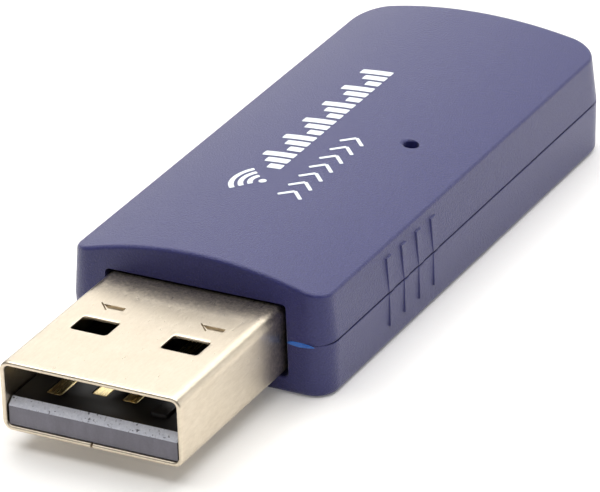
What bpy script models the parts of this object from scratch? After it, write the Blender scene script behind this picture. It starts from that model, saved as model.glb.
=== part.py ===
"""USB wifi adapter: a two-shell plastic housing with a USB-A plug, and the circuit board it holds.

The plug points along -Y and the antenna end along +Y. The origin is at the middle of the
underside, so the housing stands on Z = 0. Everything is in metres.
"""

import math

import bmesh
import bpy
from mathutils import Matrix, Vector

MM = 0.001

# Housing
HOUSING_LENGTH = 39.6 * MM
HOUSING_WIDTH = 17.7 * MM
FRONT_CORNER_RADIUS = 1.6 * MM
FAR_CORNER_RADIUS = 2.5 * MM
SEAM_HEIGHT = 3.52 * MM
CREASE_HEIGHT = 6.54 * MM
CROWN_RISE = 1.38 * MM
UPPER_DRAFT = 0.26 * MM
LOWER_DRAFT = 0.12 * MM
SIDE_WALL = 1.1 * MM
FLOOR_WALL = 0.9 * MM
ROOF_WALL = 1.1 * MM
SEAM_GAP = 0.08 * MM
CREASE_ROUND = 0.25 * MM
FOOT_ROUND = 0.4 * MM
LIP_INSET = 0.62 * MM
LIP_RISE = 0.5 * MM
FIT_GAP = 0.08 * MM

# Grip ribs, on both sides. Their faces are steeper than the drafted walls
GRIP_COUNT = 4
GRIP_PITCH = 1.97 * MM
GRIP_FIRST_Y = -5.5 * MM
GRIP_WIDTH = 0.72 * MM
GRIP_STAND = 0.04 * MM
UPPER_GRIP_SLOPE = 0.05
GRIP_ROOT = 0.4 * MM
GRIP_LOW = 1.27 * MM
GRIP_HIGH = 5.82 * MM

# Status light
LIGHT_X = 4.6 * MM
LIGHT_Y = 6.15 * MM
LIGHT_HOLE_RADIUS = 0.5 * MM
CHIMNEY_RADIUS = 1.1 * MM

# USB-A plug
PLUG_WIDTH = 12.0 * MM
PLUG_HEIGHT = 4.5 * MM
PLUG_WALL = 0.3 * MM
PLUG_CORNER_RADIUS = 0.64 * MM
PLUG_EXPOSED = 12.45 * MM
PLUG_LENGTH = 18.75 * MM
PLUG_CENTRE_HEIGHT = 3.47 * MM
WINDOW_START = 5.19 * MM
WINDOW_LENGTH = 1.76 * MM
WINDOW_INNER_X = 1.8 * MM
WINDOW_WIDTH = 2.46 * MM
WINDOW_CORNER_RADIUS = 0.25 * MM
SLIT_WIDTH = 0.06 * MM
MARK_DEPTH = 0.12 * MM
MARK_STEP = 6.7 * MM
MARK_PAD = ((-3.95, 8.72), (-3.42, 8.3), (-2.45, 8.3), (-2.45, 8.72))
MARK_NICK = ((-4.18, 8.8), (-3.5, 8.06), (-3.42, 8.12), (-4.1, 8.86))
POCKET_HALF_WIDTH = 6.12 * MM
POCKET_HALF_HEIGHT = 2.4 * MM
POCKET_CORNER_RADIUS = 0.7 * MM
TONGUE_RECESS = 0.15 * MM
TONGUE_DROP = 0.27 * MM
TONGUE_CHAMFER_LENGTH = 0.55 * MM
TONGUE_CHAMFER_DROP = 0.43 * MM
TONGUE_BLOCK_START = 14.0 * MM
CONTACT_WIDTH = 1.0 * MM
CONTACT_THICKNESS = 0.25 * MM
CONTACTS = (
    ("usb_contact_power", -3.5 * MM, 1.8 * MM),
    ("usb_contact_data_minus", -1.0 * MM, 2.75 * MM),
    ("usb_contact_data_plus", 1.0 * MM, 2.75 * MM),
    ("usb_contact_ground", 3.5 * MM, 1.8 * MM),
)

# Circuit board
BOARD_WIDTH = 14.4 * MM
BOARD_THICKNESS = 0.8 * MM
BOARD_BOTTOM = 2.3 * MM
BOARD_FRONT_Y = -6.2 * MM
BOARD_FAR_Y = 24.3 * MM
BOARD_CORNER_RADIUS = 1.3 * MM
SOLDER_GAP = 0.05 * MM
LEG_X = 5.85 * MM
LEG_REACH = 3.2 * MM
LEG_WIDTH = 1.6 * MM
LOCATING_PIN_X = 5.7 * MM
LOCATING_PIN_Y = 15.2 * MM
LOCATING_PIN_RADIUS = 0.5 * MM

# Radio chip and its shield can
CHIP_CENTRE = (-1.6 * MM, 6.2 * MM)
CHIP_SIZE = 6.0 * MM
CHIP_HEIGHT = 0.85 * MM
CAN_LOW = (-6.4 * MM, 1.7 * MM)
CAN_HIGH = (3.2 * MM, 12.6 * MM)
CAN_HEIGHT = 1.65 * MM
CAN_WALL = 0.2 * MM

# Places worked out from the sizes above
OVERALL_LENGTH = HOUSING_LENGTH + PLUG_EXPOSED
FAR_Y = OVERALL_LENGTH / 2
PLUG_Y = -OVERALL_LENGTH / 2
FRONT_Y = PLUG_Y + PLUG_EXPOSED
PLUG_REAR_Y = PLUG_Y + PLUG_LENGTH
PLUG_TOP = PLUG_CENTRE_HEIGHT + PLUG_HEIGHT / 2
PLUG_BOTTOM = PLUG_CENTRE_HEIGHT - PLUG_HEIGHT / 2
TONGUE_TOP = PLUG_CENTRE_HEIGHT - TONGUE_DROP
LEG_END_Y = PLUG_REAR_Y + LEG_REACH
HALF_WIDTH = HOUSING_WIDTH / 2
CROWN_TOP = CREASE_HEIGHT + CROWN_RISE
CROWN_CHORD = HALF_WIDTH - UPPER_DRAFT
CROWN_RADIUS = (CROWN_CHORD**2 + CROWN_RISE**2) / (2 * CROWN_RISE)
BOARD_TOP = BOARD_BOTTOM + BOARD_THICKNESS
PART_BASE = BOARD_TOP + SOLDER_GAP
UPPER_SLOPE = UPPER_DRAFT / (CREASE_HEIGHT - SEAM_HEIGHT)
LOWER_SLOPE = LOWER_DRAFT / SEAM_HEIGHT


# Scene and materials


def clear_scene():
    for obj in list(bpy.data.objects):
        bpy.data.objects.remove(obj, do_unlink=True)


def new_collection(name):
    collection = bpy.data.collections.new(name)
    bpy.context.scene.collection.children.link(collection)
    return collection


def linear(channel):
    if channel <= 0.04045:
        return channel / 12.92
    return ((channel + 0.055) / 1.055) ** 2.4


def make_material(name, hex_colour, roughness, metallic=0.0):
    material = bpy.data.materials.new(name)
    material.use_nodes = True
    shader = material.node_tree.nodes["Principled BSDF"]
    channels = [linear(int(hex_colour[i : i + 2], 16) / 255) for i in (0, 2, 4)]
    shader.inputs["Base Color"].default_value = (*channels, 1.0)
    shader.inputs["Roughness"].default_value = roughness
    shader.inputs["Metallic"].default_value = metallic
    return material


clear_scene()
parts = new_collection("usb_wifi_adapter")
cutters = new_collection("cutters")
cutters.hide_render = True

assembly = bpy.data.objects.new("usb_wifi_adapter_root", None)
assembly.empty_display_size = 5 * MM
parts.objects.link(assembly)

housing_plastic = make_material("matte_navy_abs", "4B4A78", 0.55)
plug_steel = make_material("nickel_plated_steel", "D8CDBE", 0.28, 1.0)
insulator_plastic = make_material("dark_plug_plastic", "3A3A40", 0.5)
contact_gold = make_material("gold_plated_contact", "D9B36A", 0.25, 1.0)
board_laminate = make_material("green_board_laminate", "1F5A3A", 0.45)
copper_print = make_material("printed_copper", "C98A55", 0.35, 1.0)
chip_resin = make_material("black_chip_resin", "1B1B1D", 0.6)
tinned_can = make_material("tinned_can", "BFC1C4", 0.3, 1.0)
thermal_silicone = make_material("grey_thermal_silicone", "9AA3AA", 0.9)
crystal_can = make_material("crystal_lid", "CDCBC2", 0.28, 1.0)
ferrite_dark = make_material("dark_ferrite", "35322F", 0.7)
lamp_resin = make_material("clear_lamp_resin", "DDE6F2", 0.2)
capacitor_ceramic = make_material("tan_capacitor", "B08A62", 0.5)
resistor_black = make_material("black_resistor", "202124", 0.45)


# Building blocks


def from_bmesh(name, shape, material, collection=None):
    bmesh.ops.recalc_face_normals(shape, faces=shape.faces[:])
    mesh = bpy.data.meshes.new(name)
    shape.to_mesh(mesh)
    shape.free()
    obj = bpy.data.objects.new(name, mesh)
    if material:
        mesh.materials.append(material)
    (collection or parts).objects.link(obj)
    if collection is cutters:
        obj.hide_render = True
        obj.display_type = "WIRE"
    else:
        obj.parent = assembly
    return obj


def box_into(shape, low, high):
    """Adds a box between two corners to a bmesh."""
    size = Vector(high) - Vector(low)
    middle = (Vector(high) + Vector(low)) / 2
    matrix = Matrix.Translation(middle) @ Matrix.Diagonal((*size, 1.0))
    return bmesh.ops.create_cube(shape, size=1.0, matrix=matrix)


def cylinder_into(shape, centre, radius, low, high, segments=24):
    """Adds an upright cylinder between two heights to a bmesh."""
    matrix = Matrix.Translation((centre[0], centre[1], (low + high) / 2))
    bmesh.ops.create_cone(
        shape,
        cap_ends=True,
        segments=segments,
        radius1=radius,
        radius2=radius,
        depth=high - low,
        matrix=matrix,
    )


def prism_into(shape, points, low, high):
    """Adds an upright prism over a plan outline to a bmesh."""
    face = shape.faces.new([shape.verts.new((x, y, low)) for x, y in points])
    grown = bmesh.ops.extrude_face_region(shape, geom=[face])
    moved = [item for item in grown["geom"] if isinstance(item, bmesh.types.BMVert)]
    bmesh.ops.translate(shape, verts=moved, vec=(0, 0, high - low))


def make_boxes(name, boxes, material=None, collection=None):
    shape = bmesh.new()
    for low, high in boxes:
        box_into(shape, low, high)
    return from_bmesh(name, shape, material, collection)


def add_boolean(obj, cutter, operation="DIFFERENCE"):
    modifier = obj.modifiers.new(operation.lower() + "_" + cutter.name, "BOOLEAN")
    modifier.operation = operation
    modifier.solver = "EXACT"
    modifier.object = cutter
    return modifier


def add_bevel(obj, width, segments=2, angle=40.0):
    modifier = obj.modifiers.new("rounded_edges", "BEVEL")
    modifier.width = width
    modifier.segments = segments
    modifier.limit_method = "ANGLE"
    modifier.angle_limit = math.radians(angle)
    return modifier


def smooth_round_faces(obj, angle=35.0):
    obj.data.shade_smooth()
    obj.data.set_sharp_from_angle(angle=math.radians(angle))


def arc(centre, radius, start, end, segments):
    """Points on an arc, angles in degrees."""
    turns = [math.radians(start + (end - start) * i / segments) for i in range(segments + 1)]
    return [(centre[0] + radius * math.cos(t), centre[1] + radius * math.sin(t)) for t in turns]


def rounded_rectangle(low, high, radii, segments=6):
    """Corner arcs of a rectangle; radii are for the low side and the high side of the second axis."""
    (x0, y0), (x1, y1) = low, high
    near, far = radii
    points = arc((x1 - near, y0 + near), near, -90, 0, segments)
    points += arc((x1 - far, y1 - far), far, 0, 90, segments)
    points += arc((x0 + far, y1 - far), far, 90, 180, segments)
    points += arc((x0 + near, y0 + near), near, 180, 270, segments)
    return points


def housing_outline(inset):
    """The housing's plan outline, moved inwards all round by inset."""
    low = (-HALF_WIDTH + inset, FRONT_Y + inset)
    high = (HALF_WIDTH - inset, FAR_Y - inset)
    radii = (FRONT_CORNER_RADIUS - inset, FAR_CORNER_RADIUS - inset)
    return rounded_rectangle(low, high, [max(r, 0.25 * MM) for r in radii])


def lofted_block(name, sections, material=None, collection=None):
    """A closed block through horizontal outlines, each given as (height, points)."""
    shape = bmesh.new()
    rings = []
    for height, points in sections:
        corners = [shape.verts.new((x, y, height)) for x, y in points]
        rings.append([shape.edges.new((a, b)) for a, b in zip(corners, corners[1:] + corners[:1])])
    for lower, upper in zip(rings, rings[1:]):
        bmesh.ops.bridge_loops(shape, edges=lower + upper)
    for ring in (rings[0], rings[-1]):
        bmesh.ops.contextual_create(shape, geom=ring)
    return from_bmesh(name, shape, material, collection)


def extruded_outline(name, points, axis, low, high, material=None, collection=None):
    """An outline pushed out along an axis. On X the points are (y, z), on Y (x, z), on Z (x, y)."""
    shape = bmesh.new()
    place = {
        "X": lambda a, b: (low, a, b),
        "Y": lambda a, b: (a, low, b),
        "Z": lambda a, b: (a, b, low),
    }[axis]
    step = {"X": Vector((1, 0, 0)), "Y": Vector((0, 1, 0)), "Z": Vector((0, 0, 1))}[axis]
    face = shape.faces.new([shape.verts.new(place(a, b)) for a, b in points])
    grown = bmesh.ops.extrude_face_region(shape, geom=[face])
    moved = [item for item in grown["geom"] if isinstance(item, bmesh.types.BMVert)]
    bmesh.ops.translate(shape, verts=moved, vec=step * (high - low))
    return from_bmesh(name, shape, material, collection)


def strip_outline(path, width):
    """The outline of a flat strip that follows a path, with mitred corners."""
    points = [Vector(p) for p in path]
    sides = [(b - a).normalized() for a, b in zip(points, points[1:])]
    sides = [Vector((-d.y, d.x)) for d in sides]
    offsets = [sides[0]]
    for before, after in zip(sides, sides[1:]):
        middle = (before + after).normalized()
        offsets.append(middle / middle.dot(before))
    offsets.append(sides[-1])
    left = [tuple(p + o * (width / 2)) for p, o in zip(points, offsets)]
    right = [tuple(p - o * (width / 2)) for p, o in zip(points, offsets)]
    return left + right[::-1]


# Housing


def crown_cylinder(name, top):
    """A wide lying cylinder whose top makes the housing's crowned roof."""
    bpy.ops.mesh.primitive_cylinder_add(
        vertices=192,
        radius=CROWN_RADIUS - (CROWN_TOP - top),
        depth=OVERALL_LENGTH * 1.5,
        location=(0, 0, CROWN_TOP - CROWN_RADIUS),
        rotation=(math.pi / 2, 0, 0),
    )
    crown = bpy.context.object
    crown.name = name
    for collection in list(crown.users_collection):
        collection.objects.unlink(crown)
    cutters.objects.link(crown)
    crown.hide_render = True
    crown.display_type = "WIRE"
    return crown


def grip_bars(name, low, high, slope):
    """Bars between two heights, rooted in both side walls. Their faces lean in as they rise."""
    shape = bmesh.new()
    for side in (-1, 1):
        edges = sorted((side * (HALF_WIDTH - GRIP_ROOT), side * (HALF_WIDTH + GRIP_STAND)))
        for index in range(GRIP_COUNT):
            y = GRIP_FIRST_Y + index * GRIP_PITCH
            bar = box_into(shape, (edges[0], y, low), (edges[1], y + GRIP_WIDTH, high))
            for vertex in bar["verts"]:
                if side * vertex.co.x > HALF_WIDTH and vertex.co.z > (low + high) / 2:
                    vertex.co.x -= side * slope * (high - low)
    return from_bmesh(name, shape, None, cutters)


def pocket_cutter():
    """The opening that the plug comes out of, through the front wall and along the plug's bed."""
    low = (-POCKET_HALF_WIDTH, PLUG_CENTRE_HEIGHT - POCKET_HALF_HEIGHT)
    high = (POCKET_HALF_WIDTH, PLUG_CENTRE_HEIGHT + POCKET_HALF_HEIGHT)
    points = rounded_rectangle(low, high, (POCKET_CORNER_RADIUS, POCKET_CORNER_RADIUS), 4)
    start = FRONT_Y - 1.0 * MM
    end = PLUG_REAR_Y + FIT_GAP
    return extruded_outline("plug_pocket", points, "Y", start, end, None, cutters)


def cavity_cutter(name, low, high, inset, slope):
    """The inside of a shell: the outline less the wall, drawn in by the draft as it leaves the seam."""
    sections = []
    for height in (low, high):
        drawn = slope * abs(height - SEAM_HEIGHT)
        sections.append((height, housing_outline(inset + drawn)))
    return lofted_block(name, sections, None, cutters)


def make_upper_shell(pocket):
    seam = SEAM_HEIGHT + SEAM_GAP / 2
    above = CROWN_TOP + 1.0 * MM
    below = SEAM_HEIGHT - 1.0 * MM
    sections = []
    for height in (below, above):
        sections.append((height, housing_outline(UPPER_SLOPE * (height - SEAM_HEIGHT))))
    shell = lofted_block("upper_shell", sections, housing_plastic)
    add_boolean(shell, crown_cylinder("outer_crown", CROWN_TOP), "INTERSECT")
    add_bevel(shell, CREASE_ROUND, segments=2, angle=50.0)

    size = OVERALL_LENGTH
    low_box = make_boxes("below_seam", [((-size, -size, -size), (size, size, seam))], None, cutters)
    add_boolean(shell, low_box)

    cavity = cavity_cutter("upper_cavity", below, above, SIDE_WALL, UPPER_SLOPE)
    add_boolean(cavity, crown_cylinder("inner_crown", CROWN_TOP - ROOF_WALL), "INTERSECT")
    add_boolean(shell, cavity)
    rebate = LIP_INSET - FIT_GAP
    top = SEAM_HEIGHT + LIP_RISE + FIT_GAP
    add_boolean(shell, cavity_cutter("lip_rebate", below, top, rebate, UPPER_SLOPE))

    add_boolean(shell, upper_ribs(), "UNION")
    add_boolean(shell, light_chimney(), "UNION")
    hole = bmesh.new()
    cylinder_into(hole, (LIGHT_X, LIGHT_Y), LIGHT_HOLE_RADIUS, PART_BASE, above, 24)
    add_boolean(shell, from_bmesh("light_hole", hole, None, cutters))
    add_boolean(shell, pocket)
    add_boolean(shell, grip_bars("upper_grip_bars", seam, GRIP_HIGH, UPPER_GRIP_SLOPE), "UNION")
    return shell


def upper_ribs():
    """Ribs that hold the plug down and posts that press on the board's long edges."""
    roof = CREASE_HEIGHT - 0.6 * MM
    plug_top = PLUG_CENTRE_HEIGHT + POCKET_HALF_HEIGHT
    boxes = []
    for y in (-11.6 * MM, -8.6 * MM):
        boxes.append(((-4.5 * MM, y, plug_top), (4.5 * MM, y + 0.8 * MM, CROWN_TOP - 0.5 * MM)))
    for side in (-1, 1):
        for y in (0.2 * MM, 17.6 * MM):
            near = side * 6.3 * MM
            outer = side * 7.0 * MM
            low = (min(near, outer), y, BOARD_TOP + FIT_GAP)
            boxes.append((low, (max(near, outer), y + 1.2 * MM, roof)))
    return make_boxes("upper_rib_bars", boxes, None, cutters)


def light_chimney():
    """A sleeve that leads the status light up to its hole."""
    shape = bmesh.new()
    low = BOARD_TOP + 1.0 * MM
    cylinder_into(shape, (LIGHT_X, LIGHT_Y), CHIMNEY_RADIUS, low, CREASE_HEIGHT + 0.2 * MM, 24)
    return from_bmesh("light_sleeve", shape, None, cutters)


def make_lower_shell(pocket):
    seam = SEAM_HEIGHT - SEAM_GAP / 2
    above = SEAM_HEIGHT + 1.0 * MM
    sections = []
    for height in (0.0, seam, above):
        inset = LOWER_SLOPE * (SEAM_HEIGHT - height)
        sections.append((height, housing_outline(max(inset, 0.0))))
    shell = lofted_block("lower_shell", sections, housing_plastic)
    add_bevel(shell, FOOT_ROUND, segments=3, angle=50.0)

    size = OVERALL_LENGTH
    high_box = make_boxes("above_seam", [((-size, -size, seam), (size, size, size))], None, cutters)
    lip_top = SEAM_HEIGHT + LIP_RISE
    lip_sections = []
    for height in (seam - 1.0 * MM, lip_top):
        lip_sections.append((height, housing_outline(LIP_INSET)))
    lip = lofted_block("lip_block", lip_sections, None, cutters)
    add_boolean(shell, high_box)
    add_boolean(shell, lip, "UNION")
    add_boolean(shell, lower_cavity())
    add_boolean(shell, lower_ribs(), "UNION")
    add_boolean(shell, pocket)
    add_boolean(shell, grip_bars("lower_grip_bars", GRIP_LOW, seam, 0.0), "UNION")
    return shell


def lower_cavity():
    return cavity_cutter("lower_cavity", FLOOR_WALL, SEAM_HEIGHT + 1.5 * MM, SIDE_WALL, LOWER_SLOPE)


def lower_ribs():
    """Rails under the board, stops behind the plug and two stepped locating pins."""
    shape = bmesh.new()
    floor = FLOOR_WALL - 0.3 * MM
    for side in (-1, 1):
        edges = sorted((side * 4.4 * MM, side * 5.1 * MM))
        box_into(
            shape,
            (edges[0], -2.6 * MM, floor),
            (edges[1], 23.0 * MM, BOARD_BOTTOM - SOLDER_GAP),
        )
        stops = sorted((side * 4.6 * MM, side * 5.5 * MM))
        box_into(
            shape,
            (stops[0], PLUG_REAR_Y + FIT_GAP, floor),
            (stops[1], BOARD_FRONT_Y - FIT_GAP, SEAM_HEIGHT),
        )
    rails = from_bmesh("lower_rail_bars", shape, None, cutters)
    pins = bmesh.new()
    for side in (-1, 1):
        centre = (side * LOCATING_PIN_X, LOCATING_PIN_Y)
        boss = BOARD_BOTTOM - SOLDER_GAP
        cylinder_into(pins, centre, LOCATING_PIN_RADIUS, floor, BOARD_TOP + 0.6 * MM, 16)
        cylinder_into(pins, centre, LOCATING_PIN_RADIUS * 1.9, floor, boss, 16)
    bosses = from_bmesh("locating_pin_bars", pins, None, cutters)
    joined = add_boolean(rails, bosses, "UNION")
    joined.use_self = True
    return rails


# USB plug


def plug_section(half_width, half_height, radius, segments=6):
    low = (-half_width, PLUG_CENTRE_HEIGHT - half_height)
    high = (half_width, PLUG_CENTRE_HEIGHT + half_height)
    return rounded_rectangle(low, high, (radius, radius), segments)


def make_plug_shell():
    """The stamped shell: a rolled sheet with four spring windows and a butt joint underneath."""
    points = plug_section(PLUG_WIDTH / 2, PLUG_HEIGHT / 2, PLUG_CORNER_RADIUS)
    shape = bmesh.new()
    rings = []
    for y in (PLUG_Y, PLUG_REAR_Y):
        corners = [shape.verts.new((x, y, z)) for x, z in points]
        rings += [shape.edges.new((a, b)) for a, b in zip(corners, corners[1:] + corners[:1])]
    bmesh.ops.bridge_loops(shape, edges=rings)
    shell = from_bmesh("usb_plug_shell", shape, plug_steel)
    wall = shell.modifiers.new("sheet", "SOLIDIFY")
    wall.thickness = PLUG_WALL
    wall.offset = -1.0
    wall.use_even_offset = True

    cuts = bmesh.new()
    start = PLUG_Y + WINDOW_START
    radii = (WINDOW_CORNER_RADIUS, WINDOW_CORNER_RADIUS)
    for side in (-1, 1):
        edges = sorted((side * WINDOW_INNER_X, side * (WINDOW_INNER_X + WINDOW_WIDTH)))
        window = rounded_rectangle((edges[0], start), (edges[1], start + WINDOW_LENGTH), radii, 3)
        for height in (PLUG_TOP, PLUG_BOTTOM):
            prism_into(cuts, window, height - 2 * PLUG_WALL, height + 2 * PLUG_WALL)
    low = (-SLIT_WIDTH / 2, PLUG_Y - 1.0 * MM, PLUG_BOTTOM - PLUG_WALL)
    box_into(cuts, low, (SLIT_WIDTH / 2, PLUG_REAR_Y + 1.0 * MM, PLUG_BOTTOM + 2 * PLUG_WALL))
    add_boolean(shell, from_bmesh("plug_windows", cuts, None, cutters))
    add_boolean(shell, pressed_marks())
    add_boolean(shell, plug_legs(), "UNION")
    return shell


def pressed_marks():
    """Two small pressed-in tabs on top, each a shallow pad with a slanted nick at its left end."""
    marks = bmesh.new()
    for shift in (0.0, MARK_STEP):
        for outline in (MARK_PAD, MARK_NICK):
            points = [(x * MM + shift, PLUG_Y + y * MM) for x, y in outline]
            prism_into(marks, points, PLUG_TOP - MARK_DEPTH, PLUG_TOP + MARK_DEPTH)
    return from_bmesh("pressed_mark_bars", marks, None, cutters)


def plug_legs():
    """Two blades that run back from the side walls and down through the board."""
    root = PLUG_REAR_Y - 1.0 * MM
    foot = LEG_END_Y - LEG_WIDTH
    underside = BOARD_TOP + 0.5 * MM
    tip = BOARD_BOTTOM - 0.3 * MM
    top = underside + 1.1 * MM
    outline = [
        (root, underside),
        (foot, underside),
        (foot, tip),
        (LEG_END_Y, tip),
        (LEG_END_Y, top),
        (root, top),
    ]
    blades = []
    for side in (-1, 1):
        edges = sorted((side * (LEG_X - PLUG_WALL / 2), side * (LEG_X + PLUG_WALL / 2)))
        blade = extruded_outline("plug_leg_bar", outline, "X", edges[0], edges[1], None, cutters)
        blades.append(blade)
    add_boolean(blades[0], blades[1], "UNION")
    return blades[0]


def contact_path(start, extra=0.0):
    """The side view of a contact: along the tongue, a small step up and back as a solder tail."""
    height = TONGUE_TOP - CONTACT_THICKNESS / 2
    tail = PART_BASE + CONTACT_THICKNESS / 2
    rear = PLUG_REAR_Y + 0.35 * MM
    return [
        (PLUG_Y + start - extra, height),
        (rear, height),
        (rear + 0.3 * MM, tail),
        (rear + 2.4 * MM + extra, tail),
    ]


def make_contacts():
    contacts = []
    for name, x, start in CONTACTS:
        outline = strip_outline(contact_path(start), CONTACT_THICKNESS)
        low = x - CONTACT_WIDTH / 2
        high = x + CONTACT_WIDTH / 2
        contacts.append(extruded_outline(name, outline, "X", low, high, contact_gold))
    return contacts


def make_insulator():
    """The plug's tongue and the block behind it, with a channel for each contact."""
    low = PLUG_BOTTOM + PLUG_WALL + FIT_GAP
    high = PLUG_TOP - PLUG_WALL - FIT_GAP
    front = PLUG_Y + TONGUE_RECESS
    block = PLUG_Y + TONGUE_BLOCK_START
    outline = [
        (front, low),
        (front, TONGUE_TOP - TONGUE_CHAMFER_DROP),
        (front + TONGUE_CHAMFER_LENGTH, TONGUE_TOP),
        (block, TONGUE_TOP),
        (block, high),
        (PLUG_REAR_Y, high),
        (PLUG_REAR_Y, low),
    ]
    half = PLUG_WIDTH / 2 - PLUG_WALL - FIT_GAP
    body = extruded_outline("usb_insulator", outline, "X", -half, half, insulator_plastic)
    add_bevel(body, 0.28 * MM, segments=2, angle=60.0)
    for name, x, start in CONTACTS:
        path = contact_path(start, extra=0.1 * MM)
        channel = strip_outline(path, CONTACT_THICKNESS + FIT_GAP)
        wide = CONTACT_WIDTH / 2 + FIT_GAP / 2
        cutter_name = name + "_channel"
        add_boolean(
            body,
            extruded_outline(cutter_name, channel, "X", x - wide, x + wide, None, cutters),
        )
    return body


# Circuit board


def make_board():
    half = BOARD_WIDTH / 2
    points = rounded_rectangle(
        (-half, BOARD_FRONT_Y),
        (half, BOARD_FAR_Y),
        (0.4 * MM, BOARD_CORNER_RADIUS),
        4,
    )
    board = extruded_outline("circuit_board", points, "Z", BOARD_BOTTOM, BOARD_TOP, board_laminate)
    cuts = bmesh.new()
    slot = PLUG_WALL / 2 + FIT_GAP
    for side in (-1, 1):
        low = (side * LEG_X - slot, LEG_END_Y - LEG_WIDTH - FIT_GAP, BOARD_BOTTOM - 1.0 * MM)
        high = (side * LEG_X + slot, LEG_END_Y + FIT_GAP, BOARD_TOP + 1.0 * MM)
        box_into(cuts, low, high)
        centre = (side * LOCATING_PIN_X, LOCATING_PIN_Y)
        radius = LOCATING_PIN_RADIUS + FIT_GAP
        cylinder_into(cuts, centre, radius, BOARD_BOTTOM - 1.0 * MM, BOARD_TOP + 1.0 * MM, 16)
    add_boolean(board, from_bmesh("board_holes", cuts, None, cutters))
    return board


def make_antenna():
    """A printed inverted-F antenna, folded to and fro across the board's far end."""
    width = 0.6 * MM
    left = -6.1 * MM
    turn = 1.3 * MM
    near = 18.2 * MM
    far = 23.2 * MM
    path = [(left, 16.9 * MM), (left, far)]
    x = left
    for index in range(4):
        x += turn
        path.append((x, far))
        path.append((x, near))
        x += turn
        path.append((x, near))
        path.append((x, far))
    path.append((x + turn, far))
    outline = strip_outline(path, width)
    low = PART_BASE
    high = low + 0.1 * MM
    trace = extruded_outline("printed_antenna", outline, "Z", low, high, copper_print)
    feed = ((left - 0.25 * MM, 16.2 * MM, low), (left + 2.4 * MM, 16.95 * MM, high))
    add_boolean(trace, make_boxes("antenna_feed_bar", [feed], None, cutters), "UNION")
    return trace


def stepped_part(name, centre, size, terminal, material, turned=False):
    """A two-terminal chip part: a block whose end caps stand slightly proud."""
    length, width, height = size
    proud = 0.03 * MM
    half = length / 2
    inner = half - terminal
    outline = [
        (-half, 0.0),
        (-inner, 0.0),
        (-inner, proud),
        (inner, proud),
        (inner, 0.0),
        (half, 0.0),
        (half, height),
        (inner, height),
        (inner, height - proud),
        (-inner, height - proud),
        (-inner, height),
        (-half, height),
    ]
    axis = "X" if turned else "Y"
    part = extruded_outline(name, outline, axis, -width / 2, width / 2, material)
    part.location = (centre[0], centre[1], PART_BASE)
    return part


def leaded_package(name, centre, size, pins, pitch, material):
    """A moulded package with gull-wing leads on its two long sides."""
    length, width, height = size
    shape = bmesh.new()
    clearance = 0.1 * MM
    low = (-width / 2, -length / 2, clearance)
    box_into(shape, low, (width / 2, length / 2, height))
    body = from_bmesh(name, shape, material)
    add_bevel(body, 0.06 * MM, segments=1)
    thickness = 0.12 * MM
    reach = width / 2 + 0.55 * MM
    middle = height / 2
    path = [
        (width / 2 - 0.2 * MM, middle),
        (width / 2 + 0.15 * MM, middle),
        (width / 2 + 0.2 * MM, thickness / 2),
        (reach, thickness / 2),
    ]
    leads = bmesh.new()
    lead_half = 0.14 * MM
    outline = strip_outline(path, thickness)
    for side in (-1, 1):
        for index in range(pins):
            y = (index - (pins - 1) / 2) * pitch
            corners = [leads.verts.new((side * a, y - lead_half, b)) for a, b in outline]
            face = leads.faces.new(corners)
            grown = bmesh.ops.extrude_face_region(leads, geom=[face])
            moved = [v for v in grown["geom"] if isinstance(v, bmesh.types.BMVert)]
            bmesh.ops.translate(leads, verts=moved, vec=(0, 2 * lead_half, 0))
    bars = from_bmesh(name + "_leads", leads, None, cutters)
    add_boolean(body, bars, "UNION")
    body.location = (centre[0], centre[1], PART_BASE)
    bars.location = body.location
    return body


def capped_block(name, centre, size, step_inset, step_height, material, edge=0.05 * MM):
    """A block with a smaller raised lid, such as a crystal or an inductor."""
    shape = bmesh.new()
    length, width, height = size
    body_top = height - step_height
    box_into(shape, (-width / 2, -length / 2, 0.0), (width / 2, length / 2, body_top))
    shape.faces.ensure_lookup_table()
    top = max(shape.faces, key=lambda f: f.calc_center_median().z)
    bmesh.ops.inset_individual(shape, faces=[top], thickness=step_inset)
    grown = bmesh.ops.extrude_face_region(shape, geom=[top])
    moved = [v for v in grown["geom"] if isinstance(v, bmesh.types.BMVert)]
    bmesh.ops.translate(shape, verts=moved, vec=(0, 0, step_height))
    bmesh.ops.delete(shape, geom=[top], context="FACES_ONLY")
    part = from_bmesh(name, shape, material)
    add_bevel(part, edge, segments=1)
    part.location = (centre[0], centre[1], PART_BASE)
    return part


def make_wifi_chip():
    """The radio chip: a flat square package with a dimple at its first pin."""
    half = CHIP_SIZE / 2
    shape = bmesh.new()
    box_into(shape, (-half, -half, 0.0), (half, half, CHIP_HEIGHT))
    chip = from_bmesh("wifi_chip", shape, chip_resin)
    add_bevel(chip, 0.08 * MM, segments=1)
    dimple = bmesh.new()
    corner = -half + 0.9 * MM
    low = CHIP_HEIGHT - 0.08 * MM
    cylinder_into(dimple, (corner, corner), 0.3 * MM, low, CHIP_HEIGHT + 1.0 * MM, 16)
    mark = from_bmesh("first_pin_mark", dimple, None, cutters)
    add_boolean(chip, mark)
    chip.location = (*CHIP_CENTRE, PART_BASE)
    mark.location = chip.location
    return chip


def make_thermal_pad():
    """The soft pad that carries the chip's heat to the can."""
    low = PART_BASE + CHIP_HEIGHT + SOLDER_GAP
    high = PART_BASE + CAN_HEIGHT - CAN_WALL - SOLDER_GAP
    half = CHIP_SIZE / 2 - 0.4 * MM
    x, y = CHIP_CENTRE
    pad = make_boxes(
        "thermal_pad",
        [((x - half, y - half, low), (x + half, y + half, high))],
        thermal_silicone,
    )
    add_bevel(pad, 0.08 * MM, segments=1)
    return pad


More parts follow.
